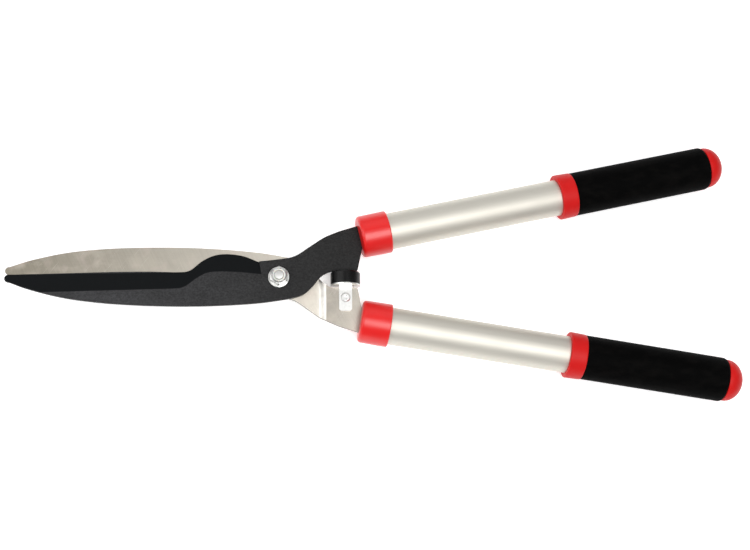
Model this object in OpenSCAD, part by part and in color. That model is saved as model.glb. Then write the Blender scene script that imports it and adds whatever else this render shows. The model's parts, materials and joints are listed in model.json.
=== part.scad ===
// Hedge shears: two stamped blades on one pivot bolt, each with a tubular handle.
// The shears lie flat: +X runs from the pivot along the bisector of the handles, +Y to
// the coated half's handle, +Z to the side of the pivot nut. The origin is the centre of
// the bounding box's bottom face. Each blade is drawn in a pivot frame, edge side up.

/* [Blades] */
// Thickness of both stampings
blade_t = 3.2; // [2.6:0.1:3.6]
// Gap between the two stampings
blade_gap = 0.3; // [0.2:0.1:0.5]
// Depth of the ground bevel at the cutting edge
bevel_drop = 2.2; // [1.2:0.1:2.4]
// Turn of the closed blades from the bisector of the handles
blade_skew = -1.9; // [-3:0.1:0]

/* [Pivot] */
// Diameter of the pivot bolt
bolt_d = 8; // [7.6:0.1:8]
// Radial clearance of the bolt in the blades
bolt_play = 0.05; // [0.02:0.01:0.1]
// Width across the flats of the bolt head and the nut
hex_af = 13; // [12.5:0.1:14]
// Height of the nut's hexagon
nut_h = 6; // [5:0.5:6.5]
// Height of the round collar on the nut
nut_collar_h = 2; // [1.5:0.1:2.5]
// Outer diameter of the plain washer under the nut
nut_washer_d = 16; // [15:0.5:17]
// Height of the bolt head
bolt_head_h = 5.3; // [4:0.1:6]

/* [Buffer] */
// Diameter of the rubber buffer
buffer_d = 23; // [18:0.5:24]
// Gap between the closed tang and the rubber
buffer_gap = 0.7; // [0.3:0.1:1]
// Width of the bracket's strap
strap_w = 10; // [8:0.5:12]
// Thickness of the bracket's strap
strap_t = 1.2; // [1:0.1:1.6]

/* [Handles] */
// Angle between each handle and the bisector
handle_angle = 10.7; // [9:0.1:12]
// Outer diameter of the tube
tube_d = 28.6; // [28:0.1:30]
// Wall of the tube
tube_wall = 1.5; // [1.2:0.1:2]
// Outer diameter of the collar at its tube end
collar_d = 33.2; // [32:0.1:35]
// Length of the collar
collar_l = 23; // [22:0.5:28]
// Distance from the collar's face to the grip ring
ring_from = 162.5; // [150:0.5:190]
// Length of the grip ring
ring_l = 13; // [10:0.5:20]
// Outer diameter of the grip ring at its tube side
ring_d = 35.8; // [35.5:0.1:38]
// Outer diameter of the grip sleeve
grip_d = 34.4; // [33:0.1:35]
// Length of the grip sleeve
grip_l = 113; // [100:0.5:140]
// Length of the end cap's dome
cap_l = 14.5; // [10:0.5:18]

/* [Hidden] */
$fn = 64;
// Small overlap that joins two solids, and how far a cutter runs past what it cuts
eps = 0.01;
over = 1;
// Longer than any part that a cutter passes through
far = 400;

// Colours
coated_black = [0.20, 0.20, 0.21];
bright_steel = [0.72, 0.69, 0.65];
zinc = [0.82, 0.82, 0.80];
red_plastic = [0.88, 0.16, 0.19];
champagne_silver = [0.78, 0.76, 0.72];
soft_black = [0.07, 0.07, 0.07];
nylon = [0.88, 0.88, 0.85];

// Radial clearances: pinned parts, the bolt in its nut, and the tang in its slot
fit_play = 0.05;
thread_play = 0.01;
slot_play = 0.1;

// Heights: the blades meet at z = 0 in the pivot frame
blade_low = blade_gap / 2;
blade_high = blade_low + blade_t;
crank_rise = blade_t + blade_gap;
handle_z = blade_low + blade_t / 2;

// Outline of one stamping, edge side up, tip to the left, pivot at [0, 0]
curve_steps = 8;
edge_knots = [
    [-208, -0.4], [-164.5, 1.4], [-128, 3], [-97.5, 3.7], [-77, 3.5], [-67.5, 5.1], [-58.5, 12.4],
    [-49.3, 17], [-39.2, 18.3], [-27, 16.8], [-15.4, 12.4]
];
tang_knots = [[-15.4, 12.4], [-1, 14.2], [12, 17], [23.3, 24.4], [35.2, 32.4], [47, 37.6]];
spine_knots = [
    [32.2, 1.1], [25.3, -7.4], [17.1, -13.9], [3, -17.3], [-21, -20.6], [-56.5, -22.8],
    [-92, -23], [-128, -21.5], [-159.3, -17.9], [-185.4, -11.8], [-202, -6.1]
];
// Round nose between the spine and the edge, and its first and last angles
nose_r = 3.1;
nose_at = [-202.2, -3.1];
nose_from = 250;
nose_to = 100;
// Steps in each small round
round_steps = 6;
// Straight inner flank of each tang: one meets the rubber, the other holds it
coated_flank_y = 5.6;
plain_flank_y = 7.2;
flank_from = 41;
flank_ease = [-3, -0.8];
flank_corner_r = 2.5;
flank_corner_x = 58.6;
flank_corner_from = -15;
flank_corner_to = -90;

// Ground bevel: its inner line, one knot for each knot of the edge
bevel_knots = [
    [-208.5, -15.7], [-164.5, -12.9], [-128, -11.2], [-100.5, -10.1], [-81, -9.8], [-71.7, -8.2],
    [-62.5, -1.5], [-54.4, 2.9], [-44.3, 4.1], [-29, 3.7], [-13.1, 2.4]
];
// The wedge runs past the edge by this ratio of the bevel's width
bevel_overrun = 1.35;
// Keeps the wedge's ribs off the outline's corners
bevel_stagger = [0.5, 0];

// Handle axis in the pivot frame: it starts at the collar's face
handle_root = [62.6, 33.15];
upper_turn = handle_angle - blade_skew;
lower_turn = handle_angle + blade_skew;

// Crank of the plain tang
crank_from = 30.6;
crank_to = 37.2;
crank_steps = 20;

// Tang stub inside the handle
stub_l = 72;
stub_w = 18;
stub_tip_w = 12;
// Pin through tube and tang, and how far its ends lie below the tube's surface
pin_at = 13;
pin_d = 5;
pin_recess = 0.3;

// Stack on the pivot
nut_washer_gap = 0.15;
nut_washer_t = 1.6;
nut_washer_low = blade_high + nut_washer_gap;
nut_low = nut_washer_low + nut_washer_t;
nut_high = nut_low + nut_h;
washer_t = 1.8;
washer_d = 14.8;
washer_play = 0.2;
washer_slot = 1.6;
washer_slot_turn = 70;
head_high = -blade_high - washer_t;
bolt_recess = 0.3;
bolt_top = nut_high + nut_collar_h - bolt_recess;
bolt_chamfer = 0.9;
bolt_dome = 0.2;
bolt_hole_d = bolt_d + 2 * bolt_play;
collar_of_nut_d = 12;
insert_d = 9.6;
insert_h = 1.4;
insert_lip = 0.8;
hex_turn = 29;
hex_chamfer = 1.4;

// Buffer stack, along -Y in the plain half's own frame from the flank of the tang
buffer_x = 51.3;
disc_t = 1;
tab_y = plain_flank_y - strap_t;
disc_y = tab_y - disc_t;
rubber_l = disc_y + coated_flank_y - buffer_gap;
rubber_chamfer = 1;
buffer_rivet_d = 4;
buffer_rivet_head_d = 7;
buffer_rivet_head_h = 1.4;
buffer_rivet_draft = 1;
buffer_well_d = 9;
buffer_well_depth = 4;
strap_to = 25.7;
strap_corner_r = 2.2;
strap_rivet_y = 15.2;
rivet_head_d = 7.6;
rivet_head_h = 1;
rivet_head_draft = 0.8;
rivet_shank_d = 4.6;
rivet_hole_d = rivet_shank_d + 2 * fit_play;
rivet_bore_d = 2.8;
rivet_bore_depth = 2;

// Handle fittings
tube_r = tube_d / 2;
bore_r = tube_r - tube_wall;
collar_wall = 3;
collar_spigot_l = 18;
collar_round = 2.5;
collar_taper = 0.3;
collar_chamfer = 0.6;
tube_from = collar_wall;
cap_from = ring_from + ring_l + grip_l;
tube_setback = 1;
tube_to = cap_from - tube_setback;
core_from = 46;
core_l = 24;
ring_round = 1;
ring_taper = 0.3;
grip_round = 2.6;
grip_round_to = 55;
cap_plug_l = 16;
cap_lead_r = 1;
cap_lead_l = 2;
cap_rim = 1.6;
cap_step = 1;
cap_steps = 12;

// Extents in the pivot frame, which give the place of the origin
function reach(along, across, angle) = norm([along * cos(angle), across * sin(angle)]);
function turned(p, angle) =
    [p.x * cos(angle) - p.y * sin(angle), p.x * sin(angle) + p.y * cos(angle)];
upper_root = turned(handle_root, blade_skew);
lower_root = turned([handle_root.x, -handle_root.y], blade_skew);
cap_r = grip_d / 2 - cap_step;
tip_at = turned(nose_at, blade_skew);
x_min = tip_at.x - nose_r;
x_max = max(upper_root.x, lower_root.x) + cap_from * cos(handle_angle)
    + reach(cap_l, cap_r, handle_angle);
y_max = upper_root.y + cap_from * sin(handle_angle) + reach(cap_r, cap_l, handle_angle);
y_min = lower_root.y - cap_from * sin(handle_angle) - reach(cap_r, cap_l, handle_angle);
z_min = handle_z - ring_d / 2;
pivot_at = [-(x_min + x_max) / 2, -(y_min + y_max) / 2, -z_min];

// Smooth curve through all the knots (Catmull-Rom)
function knot(knots, i) =
    i < 0 ? 2 * knots[0] - knots[1] :
    i >= len(knots) ? 2 * knots[len(knots) - 1] - knots[len(knots) - 2] :
    knots[i];
function blend(a, b, c, d, t) =
    (2 * b + (c - a) * t + (2 * a - 5 * b + 4 * c - d) * t * t
        + (3 * b - a - 3 * c + d) * t * t * t) / 2;
function curve(knots, steps = curve_steps) = [
    for (i = [0 : len(knots) - 2], s = [0 : steps - 1])
        blend(knot(knots, i - 1), knot(knots, i), knot(knots, i + 1), knot(knots, i + 2), s / steps),
    knots[len(knots) - 1]
];
function arc(centre, r, from, to) = [
    for (s = [0 : round_steps])
        let (a = from + (to - from) * s / round_steps) centre + r * [cos(a), sin(a)]
];
function slice(list, from, to) = [for (i = [from : to]) list[i]];

// Frames
module pivot_frame() translate(pivot_at) rotate([0, 0, blade_skew]) children();
// The plain half is the coated half's outline, mirrored: its edge looks down
module plain_frame() pivot_frame() mirror([0, 1, 0]) children();
module upper_frame()
    pivot_frame() translate([handle_root.x, handle_root.y, handle_z])
        rotate([0, 0, upper_turn]) children();
module lower_frame()
    pivot_frame() translate([handle_root.x, -handle_root.y, handle_z])
        rotate([0, 0, -lower_turn]) children();
// A handle's own parts are turned about its axis, drawn along +Z
module along_x(from = 0) translate([from, 0, 0]) rotate([0, 90, 0]) children();

// Flat outline of a stamping, from the turn of its handle and the place of its inner flank
module stamping_outline(turn, flank_y) {
    axis = [cos(turn), sin(turn)];
    side = [-axis.y, axis.x];
    stub_end = handle_root + stub_l * axis;
    polygon(concat(
        [for (p = curve(edge_knots)) if (p.x > nose_at.x) p],
        slice(curve(tang_knots), 1, curve_steps * (len(tang_knots) - 1)),
        [
            handle_root + side * stub_w / 2,
            handle_root + (stub_l / 2) * axis + side * stub_w / 2,
            stub_end + side * stub_tip_w / 2,
            stub_end - side * stub_tip_w / 2,
            handle_root + (stub_l / 2) * axis - side * stub_w / 2,
            handle_root - side * stub_w / 2
        ],
        arc(
            [flank_corner_x, flank_y + flank_corner_r],
            flank_corner_r, flank_corner_from, flank_corner_to
        ),
        [[flank_from, flank_y]],
        curve(concat([[flank_from, flank_y] + flank_ease], spine_knots)),
        arc(nose_at, nose_r, nose_from, nose_to)
    ));
}

// Wedge that grinds the bevel into the upper face, from the tip to the heel.
// Each section is a triangle: inner line, outer end of the slope, point above it.
module bevel_wedge(face_z) {
    inner = curve(bevel_knots);
    count = len(inner);
    edge = curve(edge_knots);
    outer = [for (i = [0 : count - 1]) inner[i] + bevel_overrun * (edge[i] - inner[i]) + bevel_stagger];
    sections = [
        for (i = [0 : count - 1]) each [
            [inner[i].x, inner[i].y, face_z],
            [outer[i].x, outer[i].y, face_z - bevel_overrun * bevel_drop],
            [outer[i].x, outer[i].y, face_z + over]
        ]
    ];
    sides = [
        for (i = [0 : count - 2], k = [0 : 2]) let (a = 3 * i + k, b = 3 * i + (k + 1) % 3) each [
            [a, b + 3, b],
            [a, a + 3, b + 3]
        ]
    ];
    last = 3 * (count - 1);
    polyhedron(points = sections, faces = concat([[0, 1, 2]], sides, [[last + 2, last + 1, last]]));
}

module tang_pin_hole(turn)
    translate([handle_root.x, handle_root.y, 0]) rotate([0, 0, turn]) translate([pin_at, 0, -far / 2])
        cylinder(d = pin_d + 2 * fit_play, h = far);

// Side view of the plain stamping: the tang cranks up by one thickness
module crank_section() {
    ease = [for (s = [0 : crank_steps]) s / crank_steps];
    rise = [for (t = ease) [crank_from + (crank_to - crank_from) * t, crank_rise * t * t * (3 - 2 * t)]];
    lower = [for (p = rise) [p.x, p.y - blade_high]];
    upper = [for (i = [crank_steps : -1 : 0]) [rise[i].x, rise[i].y - blade_low]];
    polygon(concat(
        [[-far, -blade_high]], lower, [[far, blade_low], [far, blade_high]], upper, [[-far, -blade_low]]
    ));
}

module plain_blade() color(bright_steel) plain_frame() difference() {
    intersection() {
        translate([0, 0, -blade_high]) linear_extrude(2 * blade_high)
            stamping_outline(lower_turn, plain_flank_y);
        rotate([90, 0, 0]) linear_extrude(far, center = true) crank_section();
    }
    mirror([0, 0, 1]) bevel_wedge(blade_high);
    translate([0, 0, -blade_high - over]) cylinder(d = bolt_hole_d, h = far);
    translate([buffer_x, strap_rivet_y, 0]) cylinder(d = rivet_hole_d, h = far, center = true);
    tang_pin_hole(lower_turn);
}

module coated_blade() color(coated_black) pivot_frame() difference() {
    translate([0, 0, blade_low]) linear_extrude(blade_t) stamping_outline(upper_turn, coated_flank_y);
    bevel_wedge(blade_high);
    translate([0, 0, -over]) cylinder(d = bolt_hole_d, h = far);
    tang_pin_hole(upper_turn);
}

// Hexagon with its outer corners turned off
module hexagon(h, chamfer_top, chamfer_bottom) {
    corner_r = hex_af / sqrt(3);
    intersection() {
        cylinder(r = corner_r, h = h, $fn = 6);
        rotate_extrude() polygon([
            [0, 0],
            [corner_r - (chamfer_bottom ? hex_chamfer : 0), 0],
            [corner_r + eps, hex_chamfer / 2],
            [corner_r + eps, h - hex_chamfer / 2],
            [corner_r - (chamfer_top ? hex_chamfer : 0), h],
            [0, h]
        ]);
    }
}

module pivot_bolt() color(zinc) pivot_frame() {
    translate([0, 0, head_high - bolt_head_h]) rotate([0, 0, hex_turn]) hexagon(bolt_head_h, false, true);
    rotate_extrude() polygon([
        [0, head_high - eps],
        [bolt_d / 2, head_high - eps],
        [bolt_d / 2, bolt_top - bolt_chamfer],
        [bolt_d / 2 - bolt_chamfer, bolt_top],
        [0, bolt_top + bolt_dome]
    ]);
}

module spring_washer() color(zinc) pivot_frame() translate([0, 0, head_high]) difference() {
    cylinder(d = washer_d, h = washer_t);
    translate([0, 0, -over]) cylinder(d = bolt_d + 2 * washer_play, h = washer_t + 2 * over);
    rotate([0, 0, washer_slot_turn]) translate([0, -washer_slot / 2, -over])
        cube([washer_d, washer_slot, washer_t + 2 * over]);
}

module nut_washer() color(zinc) pivot_frame() translate([0, 0, nut_washer_low]) difference() {
    cylinder(d = nut_washer_d, h = nut_washer_t);
    translate([0, 0, -over]) cylinder(d = bolt_d + 2 * washer_play, h = nut_washer_t + 2 * over);
}

module pivot_nut() color(zinc) pivot_frame() translate([0, 0, nut_low]) difference() {
    union() {
        rotate([0, 0, hex_turn]) hexagon(nut_h, true, false);
        cylinder(d = collar_of_nut_d, h = nut_h + nut_collar_h - insert_lip);
        translate([0, 0, nut_h + nut_collar_h - insert_lip - eps])
            cylinder(d1 = collar_of_nut_d, d2 = collar_of_nut_d - 2 * insert_lip, h = insert_lip);
    }
    translate([0, 0, -over]) cylinder(d = bolt_d + 2 * thread_play, h = nut_h + nut_collar_h + 2 * over);
    translate([0, 0, nut_h + nut_collar_h - insert_lip - insert_h])
        cylinder(d = insert_d, h = insert_h + over);
}

module nut_insert() color(nylon) pivot_frame()
    translate([0, 0, nut_low + nut_h + nut_collar_h - insert_lip - insert_h]) difference() {
        cylinder(d = insert_d, h = insert_h);
        translate([0, 0, -over]) cylinder(d = bolt_d + 2 * thread_play, h = insert_h + 2 * over);
    }

// Buffer parts share a frame whose +Z runs from the tang towards the other tang
module buffer_frame(y)
    plain_frame() translate([buffer_x, y, handle_z]) rotate([90, 0, 0]) children();

module buffer_bracket() color(zinc) difference() {
    union() {
        // Strap on the front of the tang, its free corners rounded
        plain_frame() translate([buffer_x - strap_w / 2, tab_y, blade_high]) linear_extrude(strap_t) {
            square([strap_w, strap_to - tab_y - strap_corner_r]);
            for (x = [strap_corner_r, strap_w - strap_corner_r])
                translate([x, strap_to - tab_y - strap_corner_r]) circle(strap_corner_r);
            translate([strap_corner_r, 0]) square([strap_w - 2 * strap_corner_r, strap_to - tab_y]);
        }
        // Tab bent over the edge of the tang, under the rubber
        plain_frame() translate([buffer_x - strap_w / 2, tab_y, handle_z - strap_w / 2])
            cube([strap_w, strap_t, blade_high + strap_t - handle_z + strap_w / 2]);
    }
    buffer_frame(plain_flank_y + over) cylinder(d = buffer_rivet_d + 2 * fit_play, h = strap_t + 2 * over);
    plain_frame() translate([buffer_x, strap_rivet_y, 0]) cylinder(d = rivet_hole_d, h = far);
}

module bracket_rivet() color(zinc) plain_frame() translate([buffer_x, strap_rivet_y, 0]) difference() {
    union() {
        translate([0, 0, blade_low]) cylinder(d = rivet_shank_d, h = blade_t + strap_t);
        translate([0, 0, blade_high + strap_t]) rivet_head();
        translate([0, 0, blade_low]) mirror([0, 0, 1]) rivet_head();
    }
    translate([0, 0, blade_high + strap_t + rivet_head_h - rivet_bore_depth])
        cylinder(d = rivet_bore_d, h = far);
}
module rivet_head()
    cylinder(d1 = rivet_head_d, d2 = rivet_head_d - 2 * rivet_head_draft, h = rivet_head_h);

module buffer_washer() color(zinc) buffer_frame(tab_y) difference() {
    cylinder(d = buffer_d, h = disc_t);
    translate([0, 0, -over]) cylinder(d = buffer_rivet_d + 2 * fit_play, h = disc_t + 2 * over);
}

module rubber_buffer() color(soft_black) buffer_frame(disc_y) rotate_extrude() polygon([
    [buffer_rivet_d / 2 + fit_play, 0],
    [buffer_d / 2, 0],
    [buffer_d / 2, rubber_l - rubber_chamfer],
    [buffer_d / 2 - rubber_chamfer, rubber_l],
    [buffer_well_d / 2, rubber_l],
    [buffer_well_d / 2, rubber_l - buffer_well_depth],
    [buffer_rivet_d / 2 + fit_play, rubber_l - buffer_well_depth]
]);

module buffer_rivet() color(zinc) buffer_frame(plain_flank_y) {
    shank_l = strap_t + disc_t + rubber_l - buffer_well_depth;
    cylinder(d = buffer_rivet_d, h = shank_l);
    translate([0, 0, shank_l]) cylinder(
        d1 = buffer_rivet_head_d,
        d2 = buffer_rivet_head_d - 2 * buffer_rivet_draft,
        h = buffer_rivet_head_h
    );
}

// Handle parts, drawn along the handle's own +X from the collar's face
module tang_slot(from, length)
    translate([from - over, -stub_w / 2 - slot_play, -blade_t / 2 - slot_play])
        cube([length + 2 * over, stub_w + 2 * slot_play, blade_t + 2 * slot_play]);

module collar() difference() {
    along_x() rotate_extrude() polygon(concat(
        [[0, 0]],
        arc([collar_d / 2 - collar_taper - collar_round, collar_round], collar_round, -90, 0),
        [
            [collar_d / 2, collar_l - collar_chamfer],
            [collar_d / 2 - collar_chamfer, collar_l],
            [tube_r + fit_play, collar_l],
            [tube_r + fit_play, collar_wall],
            [bore_r - fit_play, collar_wall],
            [bore_r - fit_play, collar_wall + collar_spigot_l],
            [0, collar_wall + collar_spigot_l]
        ]
    ));
    tang_slot(0, collar_wall + collar_spigot_l);
    translate([pin_at, 0, 0]) cylinder(d = pin_d + 2 * fit_play, h = tube_d, center = true);
}

module tang_pin() translate([pin_at, 0, 0]) cylinder(d = pin_d, h = tube_d - 2 * pin_recess, center = true);

module tang_core() difference() {
    along_x(core_from) cylinder(r = bore_r - fit_play, h = core_l);
    tang_slot(core_from, core_l);
}

module handle_tube() difference() {
    along_x(tube_from) cylinder(r = tube_r, h = tube_to - tube_from);
    along_x(tube_from - over) cylinder(r = bore_r, h = tube_to - tube_from + 2 * over);
    translate([pin_at, 0, 0]) cylinder(d = pin_d + 2 * fit_play, h = far, center = true);
}

module grip_ring() along_x(ring_from) rotate_extrude() polygon(concat(
    [[tube_r + fit_play, 0]],
    arc([ring_d / 2 - ring_round, ring_round], ring_round, -90, 0),
    arc([ring_d / 2 - ring_taper - ring_round, ring_l - ring_round], ring_round, 0, 90),
    [[tube_r + fit_play, ring_l]]
));

module grip_sleeve() along_x(ring_from + ring_l) rotate_extrude() polygon(concat(
    [[tube_r + fit_play, 0], [grip_d / 2, 0]],
    arc([grip_d / 2 - grip_round, grip_l - grip_round], grip_round, 0, grip_round_to),
    [[tube_r + fit_play, grip_l]]
));

// Domed cap: an elliptical dome on a short rim, with a plug inside the tube
module end_cap() along_x(cap_from) rotate_extrude() polygon(concat(
    [
        [0, -cap_plug_l],
        [bore_r - fit_play - cap_lead_r, -cap_plug_l],
        [bore_r - fit_play, -cap_plug_l + cap_lead_l],
        [bore_r - fit_play, 0],
        [cap_r, 0]
    ],
    [
        for (s = [0 : cap_steps])
            let (a = 90 * s / cap_steps) [cap_r * cos(a), cap_rim + (cap_l - cap_rim) * sin(a)]
    ]
));

module upper_collar() color(red_plastic) upper_frame() collar();
module upper_tang_pin() color(zinc) upper_frame() tang_pin();
module upper_tang_core() color(soft_black) upper_frame() tang_core();
module upper_handle_tube() color(champagne_silver) upper_frame() handle_tube();
module upper_grip_ring() color(red_plastic) upper_frame() grip_ring();
module upper_grip_sleeve() color(soft_black) upper_frame() grip_sleeve();
module upper_end_cap() color(red_plastic) upper_frame() end_cap();
module lower_collar() color(red_plastic) lower_frame() collar();
module lower_tang_pin() color(zinc) lower_frame() tang_pin();
module lower_tang_core() color(soft_black) lower_frame() tang_core();
module lower_handle_tube() color(champagne_silver) lower_frame() handle_tube();
module lower_grip_ring() color(red_plastic) lower_frame() grip_ring();
module lower_grip_sleeve() color(soft_black) lower_frame() grip_sleeve();
module lower_end_cap() color(red_plastic) lower_frame() end_cap();

plain_blade();
coated_blade();
pivot_bolt();
spring_washer();
nut_washer();
pivot_nut();
nut_insert();
buffer_bracket();
bracket_rivet();
buffer_washer();
rubber_buffer();
buffer_rivet();
upper_collar();
upper_tang_pin();
upper_tang_core();
upper_handle_tube();
upper_grip_ring();
upper_grip_sleeve();
upper_end_cap();
lower_collar();
lower_tang_pin();
lower_tang_core();
lower_handle_tube();
lower_grip_ring();
lower_grip_sleeve();
lower_end_cap();
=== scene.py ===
import json
import math

import bmesh
import bpy
from mathutils import Matrix, Vector

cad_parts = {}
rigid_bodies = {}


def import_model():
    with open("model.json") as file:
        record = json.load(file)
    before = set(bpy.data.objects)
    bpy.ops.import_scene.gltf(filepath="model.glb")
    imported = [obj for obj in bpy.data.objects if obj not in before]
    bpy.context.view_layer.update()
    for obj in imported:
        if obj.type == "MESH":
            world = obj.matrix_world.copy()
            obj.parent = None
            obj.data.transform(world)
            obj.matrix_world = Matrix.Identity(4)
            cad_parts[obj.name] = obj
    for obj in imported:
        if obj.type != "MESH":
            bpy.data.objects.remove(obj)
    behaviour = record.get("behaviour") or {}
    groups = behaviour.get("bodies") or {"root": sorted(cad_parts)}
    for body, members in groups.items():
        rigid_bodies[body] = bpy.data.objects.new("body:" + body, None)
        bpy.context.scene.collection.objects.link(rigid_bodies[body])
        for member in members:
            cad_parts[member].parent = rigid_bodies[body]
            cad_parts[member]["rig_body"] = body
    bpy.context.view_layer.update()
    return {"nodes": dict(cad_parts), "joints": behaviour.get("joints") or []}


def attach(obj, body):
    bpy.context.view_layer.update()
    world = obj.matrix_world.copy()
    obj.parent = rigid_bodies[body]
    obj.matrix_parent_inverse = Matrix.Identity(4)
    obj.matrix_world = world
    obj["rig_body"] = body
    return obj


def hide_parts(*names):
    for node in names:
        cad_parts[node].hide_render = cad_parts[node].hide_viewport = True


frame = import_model()

NODES = frame["nodes"]
PIVOT = Vector(frame["joints"][0]["pos_m"])
MM = 0.001

# Turns about Z: the closed blades, and each handle
BLADE_TURN = math.radians(-1.9)
HANDLE_TURN = math.radians(10.7)


# ---------------------------------------------------------------- camera
# The point that the view's middle meets, the camera's place, and the picture's up
AIM_FROM_PIVOT = Vector((0.0745, 0.0008, 0.0018))
CAMERA_FROM_AIM = Vector((-0.1037, -0.2038, 0.9014))
PICTURE_UP = Vector((0.0435, 0.9991, 0.0))
LENS_MM = 57.6
SENSOR_MM = 36.0


def add_camera():
    data = bpy.data.cameras.new("camera")
    data.lens = LENS_MM
    data.sensor_width = SENSOR_MM
    data.clip_start = 0.01
    data.clip_end = 20
    camera = bpy.data.objects.new("camera", data)
    bpy.context.scene.collection.objects.link(camera)
    back = CAMERA_FROM_AIM.normalized()
    right = PICTURE_UP.cross(back).normalized()
    up = back.cross(right)
    turn = Matrix((right, up, back)).transposed().to_4x4()
    camera.matrix_world = Matrix.Translation(PIVOT + AIM_FROM_PIVOT + CAMERA_FROM_AIM) @ turn
    bpy.context.scene.camera = camera


# ---------------------------------------------------------------- light and floor
def add_softbox(name, at, towards, size, watts):
    data = bpy.data.lights.new(name, "AREA")
    data.shape = "RECTANGLE"
    data.size, data.size_y = size
    data.energy = watts
    lamp = bpy.data.objects.new(name, data)
    bpy.context.scene.collection.objects.link(lamp)
    lamp.location = at
    lamp.rotation_mode = "QUATERNION"
    lamp.rotation_quaternion = (Vector(towards) - Vector(at)).to_track_quat("-Z", "Y")


# Strength of the room's light: at the horizon, and from this height upwards
HORIZON_STRENGTH = 0.50
OVERHEAD_STRENGTH = 0.27
OVERHEAD_HEIGHT = 0.8


def add_world():
    """A pale room: dim overhead and brighter towards the horizon."""
    world = bpy.data.worlds.new("studio")
    world.use_nodes = True
    tree = world.node_tree
    background = tree.nodes["Background"]
    background.inputs["Color"].default_value = (1, 1, 1, 1)
    coords = tree.nodes.new("ShaderNodeTexCoord")
    split = tree.nodes.new("ShaderNodeSeparateXYZ")
    ramp = tree.nodes.new("ShaderNodeMapRange")
    ramp.inputs["From Min"].default_value = 0.0
    ramp.inputs["From Max"].default_value = OVERHEAD_HEIGHT
    ramp.inputs["To Min"].default_value = HORIZON_STRENGTH
    ramp.inputs["To Max"].default_value = OVERHEAD_STRENGTH
    tree.links.new(coords.outputs["Generated"], split.inputs["Vector"])
    tree.links.new(split.outputs["Z"], ramp.inputs["Value"])
    tree.links.new(ramp.outputs["Result"], background.inputs["Strength"])
    bpy.context.scene.world = world


FLOOR_HALF_WIDTH = 6.0


def add_stage():
    """The world, three soft lights and the plain pale floor."""
    add_world()
    add_softbox("overhead", (0.22, -0.34, 1.3), (0.02, 0, 0), (0.72, 0.72), 12.5)
    add_softbox("rear", (0.1, 1.0, 1.0), (0, 0, 0), (1.6, 1.0), 3.5)
    add_softbox("left_fill", (-0.9, 0.0, 0.9), (0, 0, 0), (0.9, 1.3), 8.0)

    mesh = bpy.data.meshes.new("floor")
    half = FLOOR_HALF_WIDTH
    corners = [(-half, -half, 0), (half, -half, 0), (half, half, 0), (-half, half, 0)]
    mesh.from_pydata(corners, [], [(0, 1, 2, 3)])
    floor = bpy.data.objects.new("floor", mesh)
    bpy.context.scene.collection.objects.link(floor)
    material = bpy.data.materials.new("floor")
    material.use_nodes = True
    shader = material.node_tree.nodes["Principled BSDF"]
    shader.inputs["Base Color"].default_value = (0.93, 0.93, 0.93, 1)
    shader.inputs["Roughness"].default_value = 0.9
    shader.inputs["Specular IOR Level"].default_value = 0.0
    # The floor is a lit table, so that the shadows stay faint
    shader.inputs["Emission Color"].default_value = (1, 1, 1, 1)
    shader.inputs["Emission Strength"].default_value = 0.4
    mesh.materials.append(material)
    bpy.context.scene.view_settings.view_transform = "Standard"


# ---------------------------------------------------------------- material tools
# Sockets of the Map Range and Mix nodes that share a name with another, so they go by number
MAP_RANGE_LIMITS = slice(1, 5)
MIX_SHARE, MIX_LOW, MIX_HIGH, MIX_RESULT = 0, 6, 7, 2


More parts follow.
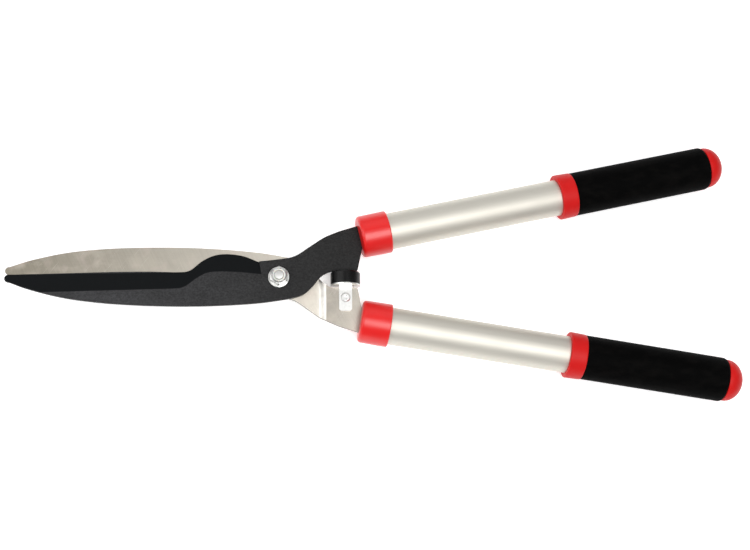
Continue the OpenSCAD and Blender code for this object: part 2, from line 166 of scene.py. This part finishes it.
class Paint:
    """One node material: short calls that add nodes and join them up.

    The colour and roughness it starts with are what a tool that can't read the nodes shows.
    """

    def __init__(self, name, colour, roughness, metallic=0.0, specular=0.5):
        self.material = bpy.data.materials.new(name)
        self.material.use_nodes = True
        self.tree = self.material.node_tree
        self.shader = self.tree.nodes["Principled BSDF"]
        self.set("Base Color", (*colour, 1))
        self.set("Roughness", roughness)
        self.set("Metallic", metallic)
        self.set("Specular IOR Level", specular)

    def set(self, socket, value):
        self.shader.inputs[socket].default_value = value

    def link(self, source, socket):
        self.tree.links.new(source, self.shader.inputs[socket])

    def put(self, socket, value):
        """Joins the socket to a node's output, or sets a number or a colour on it."""
        if isinstance(value, bpy.types.NodeSocket):
            self.tree.links.new(value, socket)
        elif isinstance(value, tuple) and len(value) == 3 and socket.type == "RGBA":
            socket.default_value = (*value, 1)
        else:
            socket.default_value = value

    def add(self, kind, **inputs):
        node = self.tree.nodes.new(kind)
        for key, value in inputs.items():
            self.put(node.inputs[key.replace("_", " ")], value)
        return node

    def place(self, stretch=(1, 1, 1), turn=0.0):
        """Object coordinates in mm: turned back by turn about Z, then divided by stretch."""
        coords = self.add("ShaderNodeTexCoord")
        turned = self.add("ShaderNodeVectorRotate", Vector=coords.outputs["Object"], Angle=-turn)
        scaled = self.tree.nodes.new("ShaderNodeVectorMath")
        scaled.operation = "MULTIPLY"
        self.tree.links.new(turned.outputs["Vector"], scaled.inputs[0])
        scaled.inputs[1].default_value = [1000 / s for s in stretch]
        return scaled.outputs["Vector"]

    def along_x(self, low, high):
        """0 to 1 from x = low to x = high, in metres."""
        coords = self.add("ShaderNodeTexCoord")
        split = self.add("ShaderNodeSeparateXYZ", Vector=coords.outputs["Object"])
        return self.band(split.outputs["X"], low, high)

    def from_pivot(self, low, high):
        """0 to 1 between two distances from the pivot, in millimetres along the closed blades."""
        split = self.add("ShaderNodeSeparateXYZ", Vector=self.place(turn=BLADE_TURN))
        start = PIVOT.x * math.cos(BLADE_TURN) / MM + PIVOT.y * math.sin(BLADE_TURN) / MM
        return self.band(split.outputs["X"], start + low, start + high)

    def noise(self, vector, detail=3.0, rough=0.5):
        node = self.add(
            "ShaderNodeTexNoise", Vector=vector, Scale=1.0, Detail=detail, Roughness=rough
        )
        return node.outputs["Fac"]

    def band(self, value, low, high, out_low=0.0, out_high=1.0):
        """Maps the value from low..high to out_low..out_high, and holds it between them."""
        node = self.add("ShaderNodeMapRange", Value=value)
        limits = (low, high, out_low, out_high)
        for socket, number in zip(node.inputs[MAP_RANGE_LIMITS], limits):
            socket.default_value = number
        return node.outputs["Result"]

    def math(self, operation, a, b=0.0):
        node = self.tree.nodes.new("ShaderNodeMath")
        node.operation = operation
        self.put(node.inputs[0], a)
        self.put(node.inputs[1], b)
        return node.outputs["Value"]

    def mix(self, share, low, high):
        """Colour mix: share 0 gives low, 1 gives high."""
        node = self.tree.nodes.new("ShaderNodeMix")
        node.data_type = "RGBA"
        self.put(node.inputs[MIX_SHARE], share)
        self.put(node.inputs[MIX_LOW], low)
        self.put(node.inputs[MIX_HIGH], high)
        return node.outputs[MIX_RESULT]

    def upright(self):
        """How level the face is: 1 on the flat faces, 0 on the walls."""
        geometry = self.add("ShaderNodeNewGeometry")
        split = self.add("ShaderNodeSeparateXYZ", Vector=geometry.outputs["True Normal"])
        return self.math("ABSOLUTE", split.outputs["Z"])

    def worn_edges(self, radius, low=0.02, high=0.25):
        """1 at the sharp edges, fading over radius, 0 elsewhere."""
        rounded = self.add("ShaderNodeBevel", Radius=radius)
        rounded.samples = 4
        geometry = self.add("ShaderNodeNewGeometry")
        product = self.tree.nodes.new("ShaderNodeVectorMath")
        product.operation = "DOT_PRODUCT"
        self.tree.links.new(rounded.outputs["Normal"], product.inputs[0])
        self.tree.links.new(geometry.outputs["Normal"], product.inputs[1])
        return self.band(self.math("SUBTRACT", 1.0, product.outputs["Value"]), low, high)

    def bump(self, height, distance, strength=1.0):
        node = self.add("ShaderNodeBump", Height=height, Distance=distance, Strength=strength)
        self.link(node.outputs["Normal"], "Normal")


# ---------------------------------------------------------------- materials
def coated_steel():
    """Matt mottled black coating, paler towards the tip; the ground band is painted darker, as
    painted shade.
    """
    paint = Paint("coated_steel", (0.02, 0.02, 0.02), 0.5, specular=0.12)
    flat = paint.band(paint.upright(), 0.990, 0.998)
    mottle = paint.noise(paint.place((1.3, 1.0, 1.0)), 5.0, 0.65)
    cloud = paint.noise(paint.place((26, 9, 9)), 2.0)
    grain = paint.band(mottle, 0.36, 0.64)
    # The face is mixed from a darker and a paler tone, paler towards the tip in patches
    paler_face = paint.mix(grain, (0.026, 0.026, 0.0275), (0.050, 0.050, 0.053))
    darker_face = paint.mix(grain, (0.010, 0.010, 0.010), (0.022, 0.022, 0.022))
    tipward = paint.math("SUBTRACT", 1.0, paint.along_x(-0.19, -0.04))
    tip_paling = paint.math("MULTIPLY", tipward, paint.band(cloud, 0.3, 0.7, 0.55, 1.0))
    face = paint.mix(tip_paling, darker_face, paler_face)
    strokes = paint.noise(paint.place((0.4, 9, 9), BLADE_TURN), 2.0)
    # Painted shade: the ground band is painted darker than the coated faces
    ground = paint.mix(strokes, (0.0004, 0.0010, 0.0014), (0.0018, 0.0028, 0.0036))
    colour = paint.mix(flat, ground, face)
    edges = paint.worn_edges(0.35 * MM)
    scuffs = paint.band(paint.noise(paint.place((3, 3, 3)), 4.0), 0.50, 0.66)
    worn = paint.math("MULTIPLY", paint.math("MULTIPLY", edges, scuffs), 0.6)
    paint.link(paint.mix(worn, colour, (0.17, 0.155, 0.14)), "Base Color")
    paint.link(paint.band(mottle, 0.2, 0.8, 0.42, 0.58), "Roughness")
    paint.bump(mottle, 0.05 * MM, 0.5)
    return paint.material


# On the plain tang, in millimetres from the pivot: where the painted highlight on its bends grows
# and where it ends, and where the painted shade beside them fades out
PAINTED_HIGHLIGHT_GROWS = (29, 35)
PAINTED_HIGHLIGHT_ENDS = (35.8, 36.8)
PAINTED_SHADE_FADES = (38, 60)


def bright_steel():
    """Stamped and ground steel: slanted grind marks, soft stains and a few scratches, with painted
    shade towards the tip, on the tang and its side walls, and a painted highlight on the tang's
    bends.
    """
    paint = Paint("bright_steel", (0.55, 0.52, 0.46), 0.4, metallic=1.0)
    strokes = paint.noise(paint.place((0.9, 16, 3), math.radians(24)), 4.0, 0.6)
    fine = paint.noise(paint.place((22, 0.14, 2), BLADE_TURN), 3.0, 0.6)
    cloud = paint.noise(paint.place((9, 7, 7)), 3.0, 0.55)
    tint = paint.noise(paint.place((13, 11, 9), 1.0), 2.0)
    scratches = paint.noise(paint.place((0.20, 26, 3), math.radians(-38)), 1.0)
    scratch = paint.band(scratches, 0.72, 0.76)
    half_strokes = paint.math("MULTIPLY", strokes, 0.5)
    tone = paint.math("ADD", half_strokes, paint.math("MULTIPLY", fine, 0.5))
    marks = paint.band(tone, 0.3, 0.7)
    # Painted shade: the steel is painted darker towards the tip and paler towards the root
    tipward = paint.mix(marks, (0.195, 0.176, 0.142), (0.26, 0.237, 0.19))
    rootward = paint.mix(marks, (0.55, 0.513, 0.45), (0.66, 0.62, 0.545))
    colour = paint.mix(paint.along_x(-0.27, -0.06), tipward, rootward)
    # Painted shade: the tang is painted darker than the blade, darkest beside its crank; the bends
    # carry a painted highlight
    painted_shade = paint.mix(marks, (0.29, 0.27, 0.235), (0.35, 0.325, 0.285))
    tang = paint.mix(marks, (0.38, 0.355, 0.31), (0.46, 0.43, 0.38))
    tang = paint.mix(paint.from_pivot(*PAINTED_SHADE_FADES), painted_shade, tang)
    past_bends = paint.from_pivot(*PAINTED_HIGHLIGHT_ENDS)
    colour = paint.mix(past_bends, colour, tang)
    before_end = paint.math("SUBTRACT", 1.0, past_bends)
    # Painted highlight: the crank's bends are painted near white
    painted_highlight = paint.math("MULTIPLY", paint.from_pivot(*PAINTED_HIGHLIGHT_GROWS), before_end)
    colour = paint.mix(painted_highlight, colour, (0.86, 0.84, 0.80))
    colour = paint.mix(paint.band(cloud, 0.45, 0.75, 0.0, 0.5), colour, (0.43, 0.395, 0.335))
    colour = paint.mix(paint.band(tint, 0.5, 0.8, 0.0, 0.35), colour, (0.60, 0.50, 0.45))
    colour = paint.mix(paint.math("MULTIPLY", scratch, 0.35), colour, (0.80, 0.77, 0.70))
    # Painted shade: the side walls are painted darker than the flat faces
    walls = paint.band(paint.upright(), 0.2, 0.5)
    paint.link(paint.mix(walls, (0.17, 0.155, 0.13), colour), "Base Color")
    stain = paint.band(cloud, 0.3, 0.7, 0.0, 0.06)
    paint.link(paint.math("ADD", paint.band(tone, 0.3, 0.7, 0.35, 0.41), stain), "Roughness")
    paint.bump(tone, 0.014 * MM, 0.6)
    return paint.material


def zinc(name, tone, smooth, rough):
    """Bright zinc plating, slightly cloudy: tone scales its colour, smooth and rough its gloss."""
    paint = Paint(name, (0.76, 0.76, 0.74), rough, metallic=1.0)
    cloud = paint.noise(paint.place((2.5, 2.5, 2.5)), 3.0)
    fine = paint.noise(paint.place((0.4, 0.4, 0.4)), 2.0)
    clean = (0.80 * tone, 0.80 * tone, 0.78 * tone)
    dull = (0.70 * tone, 0.70 * tone, 0.68 * tone)
    paint.link(paint.mix(paint.band(cloud, 0.35, 0.7), clean, dull), "Base Color")
    paint.link(paint.band(cloud, 0.3, 0.7, smooth, rough), "Roughness")
    paint.bump(fine, 0.006 * MM, 0.3)
    return paint.material


def nylon():
    """Natural nylon, faintly cloudy."""
    paint = Paint("nylon", (0.80, 0.80, 0.76), 0.5)
    cloud = paint.noise(paint.place((1.2, 1.2, 1.2)))
    paint.link(paint.mix(cloud, (0.72, 0.72, 0.68), (0.84, 0.84, 0.80)), "Base Color")
    paint.set("Subsurface Weight", 0.2)
    paint.set("Subsurface Scale", 1.0 * MM)
    return paint.material


def rubber(name, tint, dusty, roughness, specular):
    """Moulded black rubber with a fine grain and a little dust."""
    paint = Paint(name, tint, roughness, specular=specular)
    grain = paint.noise(paint.place((0.5, 0.5, 0.5)), 4.0, 0.6)
    dust = paint.noise(paint.place((11, 6, 6)), 4.0, 0.6)
    paint.link(paint.mix(paint.band(dust, 0.45, 0.75), tint, dusty), "Base Color")
    paint.link(paint.band(grain, 0.3, 0.7, roughness - 0.06, roughness + 0.08), "Roughness")
    paint.bump(grain, 0.10 * MM, 0.5)
    return paint.material


def red_plastic(name, tone, smooth, rough, specular):
    """Red moulding with a faint orange-peel skin; tone scales its red."""
    paint = Paint(name, (0.64 * tone, 0.004, 0.004), rough, specular=specular)
    cloud = paint.noise(paint.place((9, 9, 9)), 3.0)
    skin = paint.noise(paint.place((0.28, 0.28, 0.28)), 3.0)
    deep = (0.60 * tone, 0.0025, 0.0022)
    light = (0.69 * tone, 0.0045, 0.004)
    paint.link(paint.mix(cloud, deep, light), "Base Color")
    paint.link(paint.band(skin, 0.3, 0.7, smooth, rough), "Roughness")
    paint.bump(skin, 0.025 * MM, 0.35)
    return paint.material


def black_plastic():
    """Black moulding, unseen inside the tubes."""
    paint = Paint("black_plastic", (0.02, 0.02, 0.02), 0.5)
    cloud = paint.noise(paint.place((3, 3, 3)))
    paint.link(paint.mix(cloud, (0.015, 0.015, 0.015), (0.03, 0.03, 0.03)), "Base Color")
    return paint.material


def tube_aluminium(turn):
    """Satin champagne anodising, its grain along the tube."""
    paint = Paint("tube_aluminium", (0.68, 0.66, 0.60), 0.56, metallic=1.0)
    grain = paint.noise(paint.place((34, 0.22, 0.22), turn), 4.0, 0.6)
    cloud = paint.noise(paint.place((28, 12, 12), turn), 2.0)
    paint.link(paint.mix(grain, (0.60, 0.578, 0.52), (0.67, 0.645, 0.585)), "Base Color")
    stain = paint.band(cloud, 0.3, 0.7, 0.0, 0.04)
    paint.link(paint.math("ADD", paint.band(grain, 0.3, 0.7, 0.54, 0.60), stain), "Roughness")
    paint.bump(grain, 0.008 * MM, 0.6)
    return paint.material


# ---------------------------------------------------------------- pieces
SHARP_ANGLE = math.radians(28)
FLAT_ANGLE = math.radians(0.6)
WELD_DISTANCE = 0.002 * MM
# A crease: two nearly level faces that meet at this angle or more
LEVEL = 0.95
CREASE_ANGLE = math.radians(3)
BEVEL_SEGMENTS = 3


def finish_edges(node, material, rounding, clamp=True):
    """A copy of a CAD node that stands for it, its sharp edges rounded by rounding mm.

    Without clamp the rounding keeps its size where the faces beside an edge are narrow.
    """
    source = NODES[node]
    shape = bmesh.new()
    shape.from_mesh(source.data)
    bmesh.ops.remove_doubles(shape, verts=shape.verts, dist=WELD_DISTANCE)
    bmesh.ops.recalc_face_normals(shape, faces=shape.faces)
    bmesh.ops.dissolve_limit(shape, angle_limit=FLAT_ANGLE, verts=shape.verts, edges=shape.edges)
    sharp = [edge for edge in shape.edges if edge.calc_face_angle(0) > SHARP_ANGLE]
    bmesh.ops.bevel(
        shape, geom=sharp, offset=rounding * MM, offset_type="WIDTH", segments=BEVEL_SEGMENTS,
        profile=0.5, affect="EDGES", clamp_overlap=clamp,
    )
    for face in shape.faces:
        face.smooth = True
    for edge in shape.edges:
        level = all(abs(face.normal.z) > LEVEL for face in edge.link_faces)
        edge.smooth = not (level and edge.calc_face_angle(0) > CREASE_ANGLE)
    mesh = bpy.data.meshes.new(node + "_finished")
    shape.to_mesh(mesh)
    shape.free()
    piece = bpy.data.objects.new(node + "_finished", mesh)
    bpy.context.scene.collection.objects.link(piece)
    flat = piece.modifiers.new("flat faces stay flat", "WEIGHTED_NORMAL")
    flat.keep_sharp = True
    mesh.materials.append(material)
    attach(piece, source["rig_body"])
    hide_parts(node)


# ---------------------------------------------------------------- main
add_camera()
add_stage()

steel = bright_steel()
plate = zinc("zinc", 1.0, 0.30, 0.38)
turned = zinc("zinc_turned", 0.68, 0.26, 0.30)
red = red_plastic("red_plastic", 1.0, 0.29, 0.37, 0.55)
# Matt red for the grip rings and end caps: rougher than the collars, and painted darker (tone
# 0.82) as painted shade
matt_red = red_plastic("red_plastic_matt", 0.82, 0.46, 0.54, 0.22)
core = black_plastic()
grip = rubber("grip_rubber", (0.0008, 0.0008, 0.0008), (0.0028, 0.0025, 0.0023), 0.68, 0.03)
bumper = rubber("buffer_rubber", (0.0012, 0.0012, 0.0013), (0.004, 0.004, 0.004), 0.30, 0.22)

finish_edges("plain_blade", steel, 0.30)
finish_edges("coated_blade", coated_steel(), 0.25)
finish_edges("pivot_bolt", plate, 0.15)
finish_edges("spring_washer", turned, 0.2)
finish_edges("nut_washer", plate, 0.2)
finish_edges("pivot_nut", turned, 0.12, clamp=False)
finish_edges("nut_insert", nylon(), 0.1)
finish_edges("buffer_bracket", plate, 0.35)
finish_edges("bracket_rivet", plate, 0.25)
finish_edges("buffer_washer", plate, 0.15)
finish_edges("rubber_buffer", bumper, 0.6)
finish_edges("buffer_rivet", plate, 0.2)
for half, side in (("upper", 1), ("lower", -1)):
    tube = tube_aluminium(side * HANDLE_TURN)
    finish_edges(half + "_collar", red, 0.3, clamp=False)
    finish_edges(half + "_tang_pin", plate, 0.2)
    finish_edges(half + "_tang_core", core, 0.2)
    finish_edges(half + "_handle_tube", tube, 0.2)
    finish_edges(half + "_grip_ring", matt_red, 0.2)
    finish_edges(half + "_grip_sleeve", grip, 0.5)
    finish_edges(half + "_end_cap", matt_red, 0.3)
